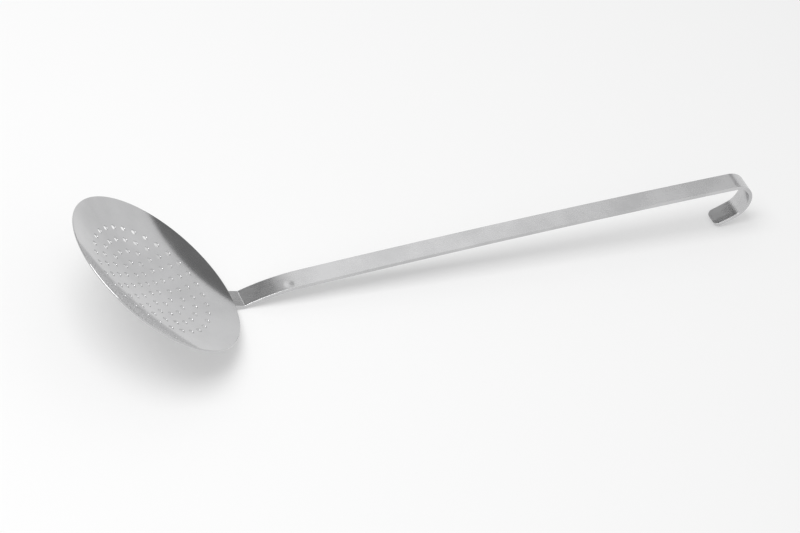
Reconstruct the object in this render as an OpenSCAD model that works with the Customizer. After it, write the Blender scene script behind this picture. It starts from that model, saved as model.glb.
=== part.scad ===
// Kitchen skimmer: a shallow perforated bowl with a long hooked strap handle.
// It lies as it does on a table, hollow side up, with the handle along +X.
// The neck and the tip of the hook touch the table, which is the plane z = 0.

/* [Bowl] */
// Diameter of the bowl over its outer edge
bowl_d = 140; // [120:1:180]
// Height of the bowl's back, from its edge to its lowest point
bowl_rise = 11.6; // [8:0.1:18]
// Thickness of the bowl's sheet
sheet_t = 1; // [0.6:0.1:1.5]

/* [Drain holes] */
// Diameter of one drain hole
hole_d = 3.5; // [2:0.1:5]
// Step from one ring of holes to the next
ring_step = 9.5; // [8:0.1:10]
// Rings of holes around the middle hole
ring_count = 5; // [1:1:5]
// Turn of the hole pattern away from the handle
pattern_turn = 25; // [0:1:60]

/* [Strap] */
// Width of the handle's strap
strap_w = 15; // [12:0.1:20]
// Thickness of the handle's strap
strap_t = 3; // [2:0.1:4]

/* [Tang] */
// Length of the tang under the bowl, in from the bowl's edge
tang_len = 18; // [14:0.5:20]
// Reach of the tang beyond the bowl's edge, out to the neck
tang_reach = 7; // [5:0.1:12]
// Radius of the tang's two end corners
tang_corner_r = 5; // [2:0.1:5.5]
// Clearance between the bowl's back and the tang's face
seat_gap = 0.05; // [0.02:0.01:0.2]

/* [Neck] */
// Radius of the neck bend on the face of the strap
neck_r = 1.5; // [1:0.1:4]
// Angle of the neck bend
neck_bend = 35; // [25:0.5:40]
// Radius of the easing curve after the neck, on the face of the strap
swan_r = 142; // [100:1:200]
// Angle of the easing curve after the neck
swan_bend = 17.7; // [12:0.1:22]

/* [Arm] */
// Length of the arm between the easing curve and the hook
arm_len = 341.5; // [200:1:450]
// Angle by which the arm bows over its length
arm_bow = 2.5; // [1:0.1:5]

/* [Hook] */
// Radius inside the hook
hook_r = 14.7; // [10:0.1:22]
// Angle of the hook's bend
hook_bend = 156.5; // [140:0.5:180]
// Length of the straight leg after the bend
hook_leg = 15.6; // [8:0.1:20]
// Radius of the two corners at the tip
tip_corner_r = 4.5; // [2:0.1:5.5]

/* [Spot welds] */
// Diameter of one weld nugget
weld_d = 4.5; // [3:0.1:5]
// Thickness of one weld nugget
weld_t = 1.2; // [0.8:0.1:1.6]
// Distance from the bowl's edge to the first row of welds
weld_inset = 5; // [3.5:0.1:6]
// Distance between the two rows of welds
weld_pitch = 7.5; // [6:0.1:8]
// Distance between the two welds of a row
weld_gauge = 7; // [6:0.1:8]

/* [Dent] */
// Diameter of the round dent in the face of the strap
dent_d = 8; // [4:0.1:9]
// Depth of the dent
dent_depth = 0.45; // [0.2:0.05:0.8]
// Distance of the dent from the neck, along the easing curve
dent_run = 34; // [15:0.5:38]
// Distance of the dent from the middle line of the strap
dent_side = 3.2; // [0:0.1:3.3]

/* [Hidden] */
$fn = 72;
steel = [0.78, 0.78, 0.79];
cut_over = 1;
corner_bite = 0.02;

// The bowl frame has its origin at the centre of the bowl's spheres and the bowl below it.
edge_r = bowl_d / 2;
back_r = (edge_r * edge_r + bowl_rise * bowl_rise) / (2 * bowl_rise);
hollow_r = back_r - sheet_t;
edge_angle = asin(edge_r / back_r);

// The strap's face is followed as a path in the XZ plane: each leg starts where the last one ends.
// A bend is [radius on the face, angle], and both are negative where the strap turns downwards.
face_r = back_r + seat_gap;
tang_start = asin((edge_r - tang_len) / face_r);
tang_end = asin((edge_r + tang_reach) / face_r);
arm_r = arm_len / (arm_bow * PI / 180);
hook_face_r = hook_r + strap_t;
bends = [
    [face_r, tang_end - tang_start],
    [neck_r, neck_bend],
    [-swan_r, -swan_bend],
    [-arm_r, -arm_bow],
    [-hook_face_r, -hook_bend],
];
last_bend = len(bends) - 1;

function along(a) = [cos(a), sin(a)];
function above(a) = [-sin(a), cos(a)];
function turned(p, a) = [p[0] * cos(a) + p[1] * sin(a), p[1] * cos(a) - p[0] * sin(a)];
function course(i) = i == 0 ? tang_start : course(i - 1) + bends[i - 1][1];
function start(i) = i == 0 ? -face_r * above(tang_start)
                           : centre(i - 1) - bends[i - 1][0] * above(course(i));
function centre(i) = start(i) + bends[i][0] * above(course(i));

// Each bend has facets of about this angle, and a few more so that a long slight bend stays smooth.
facet_angle = 3;
extra_facets = 6;
spare_t = 0.4;
trim_gap = 0.01;
function facets(i) = ceil(abs(bends[i][1]) / facet_angle) + extra_facets;
function spot(i, k, lift) = centre(i) + (lift - bends[i][0]) * above(course(i) + bends[i][1] * k / facets(i));
function at_trim_end(i, k) = i >= last_bend - 1 && k == facets(i);
function spare(i, k) = at_trim_end(i, k) ? -trim_gap : i == last_bend ? spare_t : 0;

leg_course = course(last_bend + 1);
tip = start(last_bend + 1) + hook_leg * along(leg_course);

// The rest angle puts the underside of the neck bend and the tip of the hook on one level.
neck_back_r = neck_r + strap_t;
neck_to_tip = tip - centre(1);
rest_tilt = atan2(neck_to_tip[1], neck_to_tip[0]) + asin(neck_back_r / norm(neck_to_tip));
low_z = turned(centre(1), rest_tilt)[1] - neck_back_r;
front_x = min(turned([-back_r * sin(edge_angle), -back_r * cos(edge_angle)], rest_tilt)[0],
              turned([-hollow_r * sin(edge_angle), -hollow_r * cos(edge_angle)], rest_tilt)[0]);
hook_x = turned(centre(last_bend), rest_tilt)[0] + hook_face_r;
mid_x = (front_x + hook_x) / 2;

module at_rest() {
    translate([-mid_x, 0, -low_z])
        rotate([0, rest_tilt, 0])
            children();
}

// Places a child that points down the Z axis on the bowl's sphere, out along X and Y.
module on_sphere(x, y) {
    rotate([0, -asin(x / back_r), 0])
        rotate([asin(y / back_r), 0, 0])
            children();
}

module bowl_shell() {
    rotate_extrude($fn = 180)
        intersection() {
            difference() {
                circle(r = back_r, $fn = 720);
                circle(r = hollow_r, $fn = 720);
            }
            polygon([[0, 0], [0, -2 * back_r], [2 * back_r * tan(edge_angle), -2 * back_r]]);
        }
}

module drain_hole(ring, turn) {
    rotate([0, 0, turn])
        rotate([0, -asin(ring * ring_step / back_r), 0])
            translate([0, 0, -back_r - cut_over])
                cylinder(d = hole_d, h = sheet_t + 2 * cut_over, $fn = 36);
}

module perforated_bowl() {
    color(steel)
        at_rest()
            difference() {
                bowl_shell();
                drain_hole(0, 0);
                for (ring = [1 : ring_count])
                    for (i = [0 : 6 * ring - 1])
                        drain_hole(ring, pattern_turn + i * 60 / ring);
            }
}

// The strap's side view: its face out to the tip, then its back from the tip to the tang.
// Inside the hook the outline keeps a spare layer, which a true circle then trims to the hook's radius.
// At both ends of the hook the back stands clear of that circle by the trim gap.
module strap_outline() {
    difference() {
        polygon([
            for (i = [0 : last_bend], k = [min(i, 1) : facets(i)]) spot(i, k, 0),
            tip,
            tip - strap_t * above(leg_course),
            for (i = [last_bend : -1 : 0], k = [facets(i) : -1 : min(i, 1)]) spot(i, k, -strap_t - spare(i, k)),
        ]);
        translate(centre(last_bend))
            circle(r = hook_r, $fn = 120);
    }
}

// What has to go from one corner of a strap end: a square with a quarter circle left in it.
// The circle reaches out of the corner's sides by the bite, so that it crosses them at an angle.
module corner_waste(r) {
    difference() {
        translate([-cut_over, -cut_over])
            square(r - corner_bite + cut_over);
        translate([r - corner_bite, r - corner_bite])
            circle(r = r, $fn = 48);
    }
}

module end_corners(r) {
    for (side = [-1, 1])
        scale([1, side, 1])
            translate([0, -strap_w / 2, 0])
                linear_extrude(4 * strap_t, center = true)
                    corner_waste(r);
}

module dent() {
    angle = dent_run / swan_r * 180 / PI;
    ball_r = (dent_d * dent_d / 4 + dent_depth * dent_depth) / (2 * dent_depth);
    spot = centre(2) + (swan_r + ball_r - dent_depth) * above(course(2) - angle);
    translate([spot[0], -dent_side, spot[1]])
        sphere(r = ball_r, $fn = 96);
}

module strap_handle() {
    color(steel)
        at_rest()
            difference() {
                rotate([90, 0, 0])
                    linear_extrude(strap_w, center = true)
                        strap_outline();
                translate([start(0)[0], 0, start(0)[1]])
                    rotate([0, -tang_start, 0])
                        end_corners(tang_corner_r);
                translate([tip[0], 0, tip[1]])
                    rotate([0, 180 - leg_course, 0])
                        end_corners(tip_corner_r);
                dent();
            }
}

module spot_welds() {
    color(steel)
        at_rest()
            for (row = [0, 1])
                for (side = [-1, 1])
                    on_sphere(edge_r - weld_inset - row * weld_pitch, side * weld_gauge / 2)
                        translate([0, 0, -back_r - seat_gap / 2])
                            cylinder(d = weld_d, h = weld_t, center = true);
}

perforated_bowl();
strap_handle();
spot_welds();
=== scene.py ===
import math

import bmesh
import bpy
import numpy as np
from mathutils import Matrix, Vector


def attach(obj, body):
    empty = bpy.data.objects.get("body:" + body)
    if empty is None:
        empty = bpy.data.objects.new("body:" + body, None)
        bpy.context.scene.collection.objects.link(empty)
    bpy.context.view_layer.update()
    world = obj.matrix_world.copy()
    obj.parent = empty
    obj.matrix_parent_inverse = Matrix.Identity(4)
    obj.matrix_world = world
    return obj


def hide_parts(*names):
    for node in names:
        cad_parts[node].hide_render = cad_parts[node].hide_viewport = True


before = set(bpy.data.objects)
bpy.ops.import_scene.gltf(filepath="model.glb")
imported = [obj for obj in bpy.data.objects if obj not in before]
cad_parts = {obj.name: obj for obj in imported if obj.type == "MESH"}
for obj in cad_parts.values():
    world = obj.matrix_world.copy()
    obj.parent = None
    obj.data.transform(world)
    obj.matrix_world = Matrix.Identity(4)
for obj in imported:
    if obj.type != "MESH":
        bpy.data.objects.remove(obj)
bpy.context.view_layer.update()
print("stage: frame loaded")


# A socket with arithmetic: each operation on values adds a Math node.
class Value:
    def __init__(self, tree, socket):
        self.tree = tree
        self.socket = socket

    def maths(self, operation, *terms):
        return addNode(self.tree, "ShaderNodeMath", {"operation": operation}, dict(enumerate(terms)))

    def __add__(self, other):
        return self.maths("ADD", self, other)

    def __radd__(self, other):
        return self.maths("ADD", other, self)

    def __sub__(self, other):
        return self.maths("SUBTRACT", self, other)

    def __mul__(self, other):
        return self.maths("MULTIPLY", self, other)

    def __rmul__(self, other):
        return self.maths("MULTIPLY", other, self)

    # How far the value is from low to high, smoothed and kept within 0 and 1.
    def between(self, low, high):
        settings = {"interpolation_type": "SMOOTHSTEP"}
        values = {"Value": self, "From Min": low, "From Max": high}
        return addNode(self.tree, "ShaderNodeMapRange", settings, values)


def addNode(tree, kind, settings=None, values=None, output=0):
    node = tree.nodes.new(kind)
    for name, setting in (settings or {}).items():
        setattr(node, name, setting)
    for name, value in (values or {}).items():
        if isinstance(value, Value):
            tree.links.new(value.socket, node.inputs[name])
        else:
            node.inputs[name].default_value = value
    return Value(tree, node.outputs[output])


def vectorMath(operation, *terms, output=0):
    tree = next(term.tree for term in terms if isinstance(term, Value))
    return addNode(tree, "ShaderNodeVectorMath", {"operation": operation}, dict(enumerate(terms)), output)


def noise(place, scale, detail, roughness):
    values = {"Vector": place, "Scale": scale, "Detail": detail, "Roughness": roughness}
    return addNode(place.tree, "ShaderNodeTexNoise", {}, values)


def mixColour(factor, first, second):
    values = {"Factor": factor, 6: (*first, 1), 7: (*second, 1)}
    return addNode(factor.tree, "ShaderNodeMix", {"data_type": "RGBA"}, values, 2)


def newMaterial(name):
    material = bpy.data.materials.new(name)
    material.use_nodes = True
    material.node_tree.nodes.clear()
    return material, material.node_tree


def finishMaterial(tree, shader):
    surface = tree.nodes.new("ShaderNodeOutputMaterial").inputs["Surface"]
    tree.links.new(shader.socket, surface)


def meshObject(name, points, faces, material, normals=None):
    mesh = bpy.data.meshes.new(name)
    mesh.from_pydata(points, [], faces)
    mesh.update()
    mesh.polygons.foreach_set("use_smooth", [normals is not None] * len(faces))
    if normals is not None:
        mesh.normals_split_custom_set_from_vertices(normals)
    mesh.materials.append(material)
    piece = bpy.data.objects.new(name, mesh)
    bpy.context.scene.collection.objects.link(piece)
    return piece


# Shared by every steel here. A detail is a noise's detail and roughness.
# Limits are where a mask sets in and where it is full.
steelValues = {
    "grainDetail": (3.0, 0.6),
    "cloudDetail": (3.0, 0.55),
    "markDetail": (4.0, 0.7),
    "wearDetail": (5.0, 0.65),
    "markShift": (7.3, 2.1, 4.4),
    "markLimits": (0.62, 0.74),
    "wearLimits": (0.5, 0.75),
    "tintLimits": (0.3, 0.7),
    "markHeight": -0.6,
    "wearHeight": 0.15,
}


# Grain is fine brushing, clouds are the soft smudges of handling, marks and wear are scratches and dints.
def steelMaterial(name, values, place):
    steel = steelValues
    material, tree = newMaterial(name)
    spot, grainSpot = place(tree)
    grain = noise(grainSpot, 1.0, *steel["grainDetail"])
    clouds = noise(spot, values["cloudScale"], *steel["cloudDetail"])
    markSpot = vectorMath("ADD", grainSpot, steel["markShift"])
    marks = noise(markSpot, values["markScale"], *steel["markDetail"]).between(*steel["markLimits"])
    wear = noise(spot, values["wearScale"], *steel["wearDetail"]).between(*steel["wearLimits"])
    rough = values["roughness"] + values["grainRoughness"] * (grain - 0.5)
    rough = rough + values["cloudRoughness"] * (clouds - 0.5) + values["markRoughness"] * marks
    tint = mixColour(clouds.between(*steel["tintLimits"]), values["colourDark"], values["colourLight"])
    height = grain + marks * steel["markHeight"] + wear * steel["wearHeight"]
    bump = addNode(tree, "ShaderNodeBump", {}, {
        "Strength": values["bumpStrength"], "Distance": values["bumpHeight"], "Height": height,
    })
    shader = addNode(tree, "ShaderNodeBsdfPrincipled", {}, {
        "Base Color": tint, "Metallic": 1.0, "Roughness": rough, "Normal": bump,
    })
    finishMaterial(tree, shader)
    return material


# The bowl is a copy of the CAD mesh with broken edges, and its shading follows the true sphere.
# A side value says how squarely a face looks along the sphere's radius.
bowlValues = {
    "sphereCentre": (-0.094738, 0.0, 0.215643),
    "axis": (0.535724, 0.0, 0.844393),
    "backRadius": 0.217014,
    "sheet": 0.001,
    "rimRadius": 0.07,
    "holeRadius": 0.00175,
    "holeRound": 0.0005,
    "holeSteps": 4,
    "holeReach": 1.2,
    "rimRound": 0.00025,
    "rimSteps": 2,
    "rimMargin": 0.001,
    "joinDistance": 1e-7,
    "wallSide": 0.5,
    "sheetSide": 0.9,
    "smoothSide": 0.995,
    "ringCount": 5,
    "ringStep": 0.0095,
    "patternTurn": 25.0,
    "colourDark": (0.47, 0.47, 0.475),
    "colourLight": (0.53, 0.53, 0.535),
    "roughness": 0.10,
    "grainRoughness": 0.04,
    "cloudRoughness": 0.06,
    "markRoughness": 0.08,
    "cloudScale": 28.0,
    "wearScale": 160.0,
    "markScale": 0.35,
    "ringsPerMetre": 2600.0,
    "grainAround": (4.0, 4.0, 4.0),
    "bumpStrength": 0.12,
    "bumpHeight": 0.00002,
}


# The grain runs in rings around the bowl's axis.
def bowlPlace(tree):
    v = bowlValues
    spot = addNode(tree, "ShaderNodeTexCoord", {}, {}, "Object")
    fromCentre = vectorMath("SUBTRACT", spot, v["sphereCentre"])
    height = vectorMath("DOT_PRODUCT", fromCentre, v["axis"], output="Value")
    onAxis = addNode(tree, "ShaderNodeVectorMath", {"operation": "SCALE"}, {0: v["axis"], "Scale": height})
    radial = vectorMath("SUBTRACT", fromCentre, onAxis)
    radius = vectorMath("LENGTH", radial, output="Value")
    rings = addNode(tree, "ShaderNodeCombineXYZ", {}, {"X": radius * v["ringsPerMetre"]})
    around = vectorMath("MULTIPLY", vectorMath("NORMALIZE", radial), v["grainAround"])
    return spot, vectorMath("ADD", around, rings)


# Unit vectors from the sphere's centre to the middles of the drain holes.
def holeWays():
    v = bowlValues
    tilt = math.atan2(v["axis"][0], v["axis"][2])
    ways = []
    for ring in range(v["ringCount"] + 1):
        out = math.asin(ring * v["ringStep"] / v["backRadius"])
        count = max(6 * ring, 1)
        for index in range(count):
            turn = math.radians(v["patternTurn"]) + index * 2 * math.pi / count
            side = math.sin(out)
            way = Vector((side * math.cos(turn), side * math.sin(turn), -math.cos(out)))
            ways.append(Matrix.Rotation(tilt, 3, "Y") @ way)
    return np.array(ways)


# Rounds the holes' edges on the hollow side, as a punch leaves them, and breaks the rim's two edges.
def roundEdges(mesh):
    v = bowlValues
    centre, axis = Vector(v["sphereCentre"]), Vector(v["axis"])
    form = bmesh.new()
    form.from_mesh(mesh)
    bmesh.ops.remove_doubles(form, verts=form.verts, dist=v["joinDistance"])
    holeEdges, rimEdges = [], []
    for edge in form.edges:
        if len(edge.link_faces) != 2:
            continue
        sides = []
        for face in edge.link_faces:
            sides.append(face.normal.dot((centre - face.calc_center_median()).normalized()))
        squareness = [abs(side) for side in sides]
        if min(squareness) > v["wallSide"] or max(squareness) < v["sheetSide"]:
            continue
        spot = edge.verts[0].co - centre
        if (spot - axis * spot.dot(axis)).length > v["rimRadius"] - v["rimMargin"]:
            rimEdges.append(edge)
        elif max(sides) > v["sheetSide"]:
            holeEdges.append(edge)
    for edges, kind in ((holeEdges, "hole"), (rimEdges, "rim")):
        edges = [edge for edge in edges if edge.is_valid]
        bmesh.ops.bevel(form, geom=edges, offset=v[kind + "Round"], offset_type="OFFSET",
                        segments=v[kind + "Steps"], profile=0.5, affect="EDGES", clamp_overlap=False)
    bmesh.ops.triangulate(form, faces=form.faces)
    form.to_mesh(mesh)
    form.free()
    mesh.update()


# Shading normals worked out from the sphere, the holes' rounding and their walls.
def bowlNormals(mesh):
    v = bowlValues
    points = np.empty(len(mesh.vertices) * 3)
    mesh.vertices.foreach_get("co", points)
    points = points.reshape(-1, 3) - np.array(v["sphereCentre"])
    reach = np.linalg.norm(points, axis=1)
    outward = points / reach[:, None]
    ways = holeWays()
    hole = ways[np.argmax(outward @ ways.T, axis=1)]
    across = points - hole * np.sum(points * hole, axis=1)[:, None]
    away = np.linalg.norm(across, axis=1)
    width = v["holeRound"]
    inwards = np.clip((v["holeRadius"] + width - away) / width, 0, 1)[:, None]
    upwards = np.clip((width - (reach - v["backRadius"] + v["sheet"])) / width, 0, 1)[:, None]
    rounded = -across / np.maximum(away, 1e-9)[:, None] * inwards - outward * upwards
    rounded /= np.maximum(np.linalg.norm(rounded, axis=1), 1e-9)[:, None]
    nearHole = away < v["holeRadius"] + v["holeReach"] * width
    normals = np.empty((len(mesh.loops), 3))
    for face in mesh.polygons:
        loops = list(face.loop_indices)
        corners = [mesh.loops[i].vertex_index for i in loops]
        flat = np.array(face.normal)
        side = float(flat @ outward[corners].mean(axis=0))
        if abs(side) > v["smoothSide"]:
            normals[loops] = outward[corners] * math.copysign(1, side)
        elif nearHole[corners].all():
            normals[loops] = rounded[corners]
        else:
            normals[loops] = flat
    return normals


def buildBowl():
    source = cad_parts["perforated_bowl"]
    bowl = source.copy()
    bowl.name = "bowlSheet"
    bowl.data = source.data.copy()
    bpy.context.scene.collection.objects.link(bowl)
    mesh = bowl.data
    roundEdges(mesh)
    mesh.polygons.foreach_set("use_smooth", [True] * len(mesh.polygons))
    mesh.normals_split_custom_set(bowlNormals(mesh).tolist())
    mesh.materials.clear()
    mesh.materials.append(steelMaterial("bowlSteel", bowlValues, bowlPlace))
    mesh.polygons.foreach_set("material_index", [0] * len(mesh.polygons))
    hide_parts("perforated_bowl")
    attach(bowl, "root")


buildBowl()
print("stage: bowl")

# The strap is drawn again along the CAD strap's path, with its edges rounded.
# Lengths are in metres and angles in degrees. A bend is [radius on the face, angle].
strapValues = {
    "start": (-0.163726, 0.009841),
    "course": -18.532,
    "bends": [(0.21706, 6.917), (0.0015, 35.0), (-0.142, -17.7), (-7.82660, -2.5), (-0.0177, -156.5)],
    "leg": 0.0156,
    "width": 0.015,
    "thickness": 0.003,
    "edgeRadius": 0.00045,
    "tangCorner": 0.005,
    "tipCorner": 0.0045,
    "cornerStep": 0.00025,
    "tangStep": 0.001,
    "neckSpots": 25,
    "neckMargin": 0.0003,
    "swanStep": 0.0004,
    "armStep": 0.002,
    "hookStep": 0.0005,
    "faceSpots": 31,
    "backSpots": 15,
    "edgeSpots": 7,
    "steepestEnd": 8,
    "dentRun": 0.034,
    "dentSide": -0.0032,
    "dentRadius": 0.0044,
    "dentDepth": 0.00022,
    "colourDark": (0.48, 0.48, 0.485),
    "colourLight": (0.56, 0.56, 0.565),
    "roughness": 0.27,
    "grainRoughness": 0.08,
    "cloudRoughness": 0.12,
    "markRoughness": 0.10,
    "cloudScale": 35.0,
    "wearScale": 220.0,
    "markScale": 0.4,
    "grainAlong": 14.0,
    "grainAcross": 1700.0,
    "bumpStrength": 0.3,
    "bumpHeight": 0.00002,
}


def strapPlace(tree):
    spot = addNode(tree, "ShaderNodeTexCoord", {}, {}, "Object")
    run = addNode(tree, "ShaderNodeAttribute", {"attribute_name": "strapRun"}, {}, "Vector")
    scale = (strapValues["grainAlong"], strapValues["grainAcross"], strapValues["grainAcross"])
    return spot, vectorMath("MULTIPLY", run, scale)


def along(angle):
    return np.array((math.cos(angle), math.sin(angle)))


def above(angle):
    return np.array((-math.sin(angle), math.cos(angle)))


# Gives points, tangents and ups of the strap's face at the path distances.
def strapPath(runs):
    v = strapValues
    legs = []
    place = np.array(v["start"])
    course = math.radians(v["course"])
    begin = 0.0
    for radius, bend in v["bends"]:
        angle = math.radians(bend)
        centre = place + radius * above(course)
        legs.append((begin, radius, centre, course))
        begin += abs(radius * angle)
        course += angle
        place = centre - radius * above(course)
    spots, tangents = [], []
    for run in runs:
        if run >= begin:
            angle = course
            spot = place + (run - begin) * along(angle)
        else:
            first, radius, centre, angle = [leg for leg in legs if leg[0] <= run][-1]
            angle += (run - first) / radius
            spot = centre - radius * above(angle)
        spots.append((spot[0], 0.0, spot[1]))
        tangents.append((math.cos(angle), 0.0, math.sin(angle)))
    tangents = np.array(tangents)
    ups = np.stack((-tangents[:, 2], tangents[:, 1], tangents[:, 0]), axis=1)
    return np.array(spots), tangents, ups


# Rows of: side of the middle line, offset outwards, height, and the normal's two parts.
def strapSection():
    v = strapValues
    edge = v["edgeRadius"]
    back = -v["thickness"]
    rows = [(side, 0, 0, 0, 1) for side in np.linspace(-1, 1, v["faceSpots"])]

    def addEdge(side, first, level, kept):
        for angle in np.radians(np.linspace(first, first - 90, v["edgeSpots"])[kept]):
            out, up = math.cos(angle), math.sin(angle)
            rows.append((side, edge * out, level + edge * up, out, up))

    addEdge(1, 90, -edge, slice(1, None))
    addEdge(1, 0, back + edge, slice(None, -1))
    rows += [(side, 0, back, 0, -1) for side in np.linspace(1, -1, v["backSpots"])]
    addEdge(-1, 270, back + edge, slice(1, None))
    addEdge(-1, 180, -edge, slice(None, -1))
    return np.array(rows)


# Half the strap's width at a path distance, with the round corners of both ends.
def halfWidth(run, total):
    v = strapValues
    half = v["width"] / 2
    for away, corner in ((run, v["tangCorner"]), (total - run, v["tipCorner"])):
        if away < corner:
            return half - corner + math.sqrt(max(corner ** 2 - (corner - away) ** 2, 0))
    return half


def buildStrap():
    v = strapValues
    lengths = [abs(radius * math.radians(bend)) for radius, bend in v["bends"]]
    joints = np.cumsum([0.0] + lengths)
    total = joints[-1] + v["leg"]
    runs = np.concatenate([
        np.arange(0, v["tangCorner"], v["cornerStep"]),
        np.arange(v["tangCorner"], joints[1], v["tangStep"]),
        np.linspace(joints[1], joints[2], v["neckSpots"]),
        np.arange(joints[2] + v["neckMargin"], joints[3], v["swanStep"]),
        np.arange(joints[3], joints[4], v["armStep"]),
        np.arange(joints[4], total - v["tipCorner"], v["hookStep"]),
        np.arange(total - v["tipCorner"], total, v["cornerStep"] / 2),
        [total],
    ])
    runs = np.unique(np.round(runs, 7))
    spots, tangents, ups = strapPath(runs)
    section = strapSection()
    halves = np.array([halfWidth(run, total) for run in runs])
    slopes = np.clip(np.gradient(halves, runs), -v["steepestEnd"], v["steepestEnd"])
    dentAt = joints[2] + v["dentRun"]
    points, normals, strapRuns = [], [], []
    for k, run in enumerate(runs):
        y = section[:, 0] * (halves[k] - v["edgeRadius"]) + section[:, 1]
        away = np.hypot(run - dentAt, y - v["dentSide"]) / v["dentRadius"]
        inDent = (away < 1) & (section[:, 4] > 0.99)
        phase = np.pi * np.minimum(away, 1)
        depth = np.where(inDent, v["dentDepth"] / 2 * (1 + np.cos(phase)), 0)
        steep = np.where(inDent, -v["dentDepth"] / 2 * np.pi * np.sin(phase) / v["dentRadius"], 0)
        towards = np.maximum(away * v["dentRadius"], 1e-9)
        alongTilt = steep * (run - dentAt) / towards - np.abs(section[:, 3]) * slopes[k]
        sideTilt = steep * (y - v["dentSide"]) / towards
        rows = spots[k] + ups[k] * (section[:, 2] - depth)[:, None]
        rows[:, 1] = y
        turn = ups[k] * section[:, 4:5] + tangents[k] * alongTilt[:, None]
        turn[:, 1] += section[:, 3] + sideTilt
        points.append(rows)
        normals.append(turn / np.linalg.norm(turn, axis=1)[:, None])
        strapRuns.append(np.stack((np.full(len(y), run), y, section[:, 2]), axis=1))
    ring = len(section)
    count = len(runs)
    faces = []
    for k in range(count - 1):
        for i in range(ring):
            j = (i + 1) % ring
            faces.append((k * ring + i, (k + 1) * ring + i, (k + 1) * ring + j, k * ring + j))
    # Each end has a ring of its own, so that its flat face shades flat.
    for k, way in ((0, -1), (count - 1, 1)):
        base = len(points) * ring
        points.append(points[k])
        normals.append(np.tile(tangents[k] * way, (ring, 1)))
        strapRuns.append(strapRuns[k])
        cap = range(base, base + ring)
        faces.append(tuple(cap) if way < 0 else tuple(reversed(cap)))
    material = steelMaterial("strapSteel", strapValues, strapPlace)
    points, normals = np.concatenate(points).tolist(), np.concatenate(normals).tolist()
    strap = meshObject("strapBar", points, faces, material, normals)
    grain = strap.data.attributes.new("strapRun", "FLOAT_VECTOR", "POINT")
    grain.data.foreach_set("vector", np.concatenate(strapRuns).ravel())
    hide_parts("strap_handle")
    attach(strap, "root")


buildStrap()
print("stage: strap")

weldValues = dict(
    strapValues,
    roughness=0.45,
    colourDark=(0.36, 0.35, 0.34),
    colourLight=(0.5, 0.49, 0.48),
    grainScale=(900.0, 900.0, 900.0),
)


def weldPlace(tree):
    spot = addNode(tree, "ShaderNodeTexCoord", {}, {}, "Object")
    return spot, vectorMath("MULTIPLY", spot, weldValues["grainScale"])


weldMaterial = steelMaterial("weldSteel", weldValues, weldPlace)
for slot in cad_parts["spot_welds"].material_slots:
    slot.material = weldMaterial
print("stage: welds")

# The camera as recovered from the photograph.
# The turn, an axis times its angle, and the shift take the rim's own frame to the camera's.
cameraValues = {
    "turn": (-0.8252, 0.8696, 0.0904),
    "shift": (-0.1617394, -0.0041443, -1.8011861),
    "restTilt": 32.393,
    "rimCentre": (-0.204507, 0.0, 0.042627),
    "lens": 121.5,
    "sensor": 36.0,
    "clipEnd": 50.0,
}


def buildCamera():
    v = cameraValues
    turn = Vector(v["turn"])
    toCamera = Matrix.Rotation(turn.length, 3, turn.normalized())
    rimToPart = Matrix.Rotation(math.radians(v["restTilt"]), 3, "Y")
    partToCamera = toCamera @ rimToPart.transposed()
    back = partToCamera.transposed()
    place = Vector(v["rimCentre"]) - back @ Vector(v["shift"])
    data = bpy.data.cameras.new("photoCamera")
    data.lens = v["lens"]
    data.sensor_width = v["sensor"]
    data.clip_end = v["clipEnd"]
    camera = bpy.data.objects.new("photoCamera", data)
    camera.matrix_world = Matrix.Translation(place) @ back.to_4x4()
    bpy.context.scene.collection.objects.link(camera)
    bpy.context.scene.camera = camera


buildCamera()
print("stage: camera")

# A way is [azimuth, elevation, distance]. The glow and shine are the shares of plain white
# that the camera and reflections see in place of the lit floor.
studioValues = {
    "floorHalf": 6.0,
    "floorDrop": 0.00002,
    "floorColour": (0.9, 0.9, 0.9, 1),
    "floorGlow": 0.25,
    "worldStrength": 0.6,
    "worldShine": 0.4,
    "floorShine": 0.9,
    "keyWay": (180.0, 66.0, 1.9),
    "keySize": 1.2,
    "keyPower": 19.0,
    "softWay": (68.0, 49.0, 1.6),
    "softSize": 0.5,
    "softPower": 0.25,
    "cards": [
        {"from": (-0.20, 0.0, 0.04), "way": (34.0, 31.5, 3.0), "size": (3.2, 0.64), "level": 0.24},
        {"from": (0.0, 0.0, 0.02), "way": (112.0, 47.0, 3.0), "size": (1.6, 1.5), "level": 0.14},
    ],
}


def fromWay(azimuth, elevation, distance):
    a, e = math.radians(azimuth), math.radians(elevation)
    return Vector((math.cos(a) * math.cos(e), math.sin(a) * math.cos(e), math.sin(e))) * distance


def facing(place):
    return (-place).to_track_quat("-Z", "Y").to_euler()


def rayKinds(tree):
    path = tree.nodes.new("ShaderNodeLightPath")
    names = ("Is Camera Ray", "Is Glossy Ray", "Is Transmission Ray")
    return [Value(tree, path.outputs[name]) for name in names]


def seenRays(tree):
    camera, glossy, through = rayKinds(tree)
    return camera.maths("MINIMUM", camera + glossy + through, 1.0)


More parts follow.
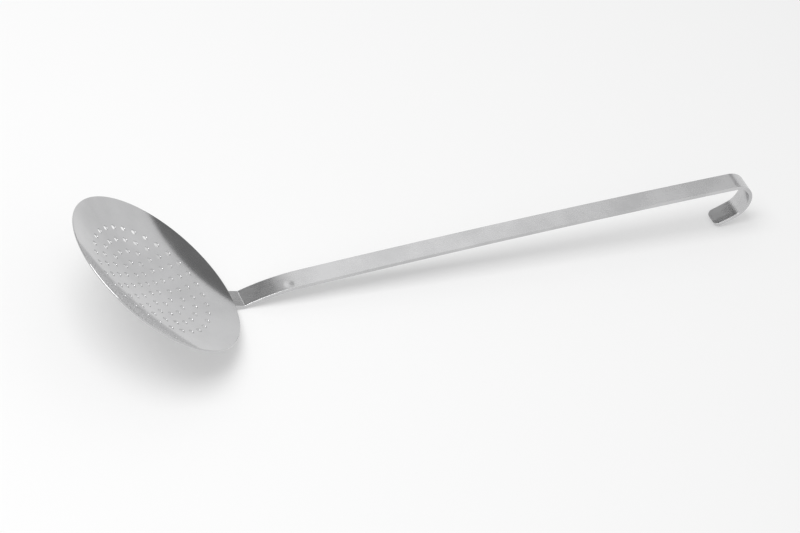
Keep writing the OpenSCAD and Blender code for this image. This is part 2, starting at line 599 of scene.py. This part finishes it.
def buildStudio():
    v = studioValues
    material, tree = newMaterial("floorPaper")
    matt = addNode(tree, "ShaderNodeBsdfDiffuse", {}, {"Color": v["floorColour"]})
    glow = addNode(tree, "ShaderNodeEmission", {}, {"Color": (1, 1, 1, 1), "Strength": 1.0})
    camera, glossy, through = rayKinds(tree)
    share = (camera + through) * v["floorGlow"] + glossy * v["floorShine"]
    mixed = addNode(tree, "ShaderNodeMixShader", {}, {0: share, 1: matt, 2: glow})
    finishMaterial(tree, mixed)
    h = v["floorHalf"]
    z = -v["floorDrop"]
    corners = [(-h, -h, z), (h, -h, z), (h, h, z), (-h, h, z)]
    meshObject("floor", corners, [(0, 1, 2, 3)], material)

    world = bpy.data.worlds.new("studio")
    world.use_nodes = True
    tree = world.node_tree
    background = tree.nodes["Background"]
    background.inputs["Color"].default_value = (1, 1, 1, 1)
    level = seenRays(tree) * v["worldShine"] + v["worldStrength"]
    tree.links.new(level.socket, background.inputs["Strength"])
    bpy.context.scene.world = world

    for name in ("key", "soft"):
        light = bpy.data.lights.new(name + "Light", "AREA")
        light.shape = "SQUARE"
        light.size = v[name + "Size"]
        light.energy = v[name + "Power"]
        lamp = bpy.data.objects.new(name + "Light", light)
        lamp.location = fromWay(*v[name + "Way"])
        lamp.rotation_euler = facing(lamp.location)
        bpy.context.scene.collection.objects.link(lamp)

    for index, card in enumerate(v["cards"]):
        material, tree = newMaterial(f"card{index}")
        finishMaterial(tree, addNode(tree, "ShaderNodeEmission", {}, {"Strength": card["level"]}))
        w, h = card["size"][0] / 2, card["size"][1] / 2
        corners = [(-w, -h, 0), (w, -h, 0), (w, h, 0), (-w, h, 0)]
        piece = meshObject(f"card{index}", corners, [(0, 1, 2, 3)], material)
        piece.location = Vector(card["from"]) + fromWay(*card["way"])
        piece.rotation_euler = facing(fromWay(*card["way"]))
        piece.visible_shadow = False
        piece.visible_diffuse = False


buildStudio()
bpy.context.scene.view_settings.view_transform = "Standard"
print("stage: studio")

bpy.context.view_layer.update()
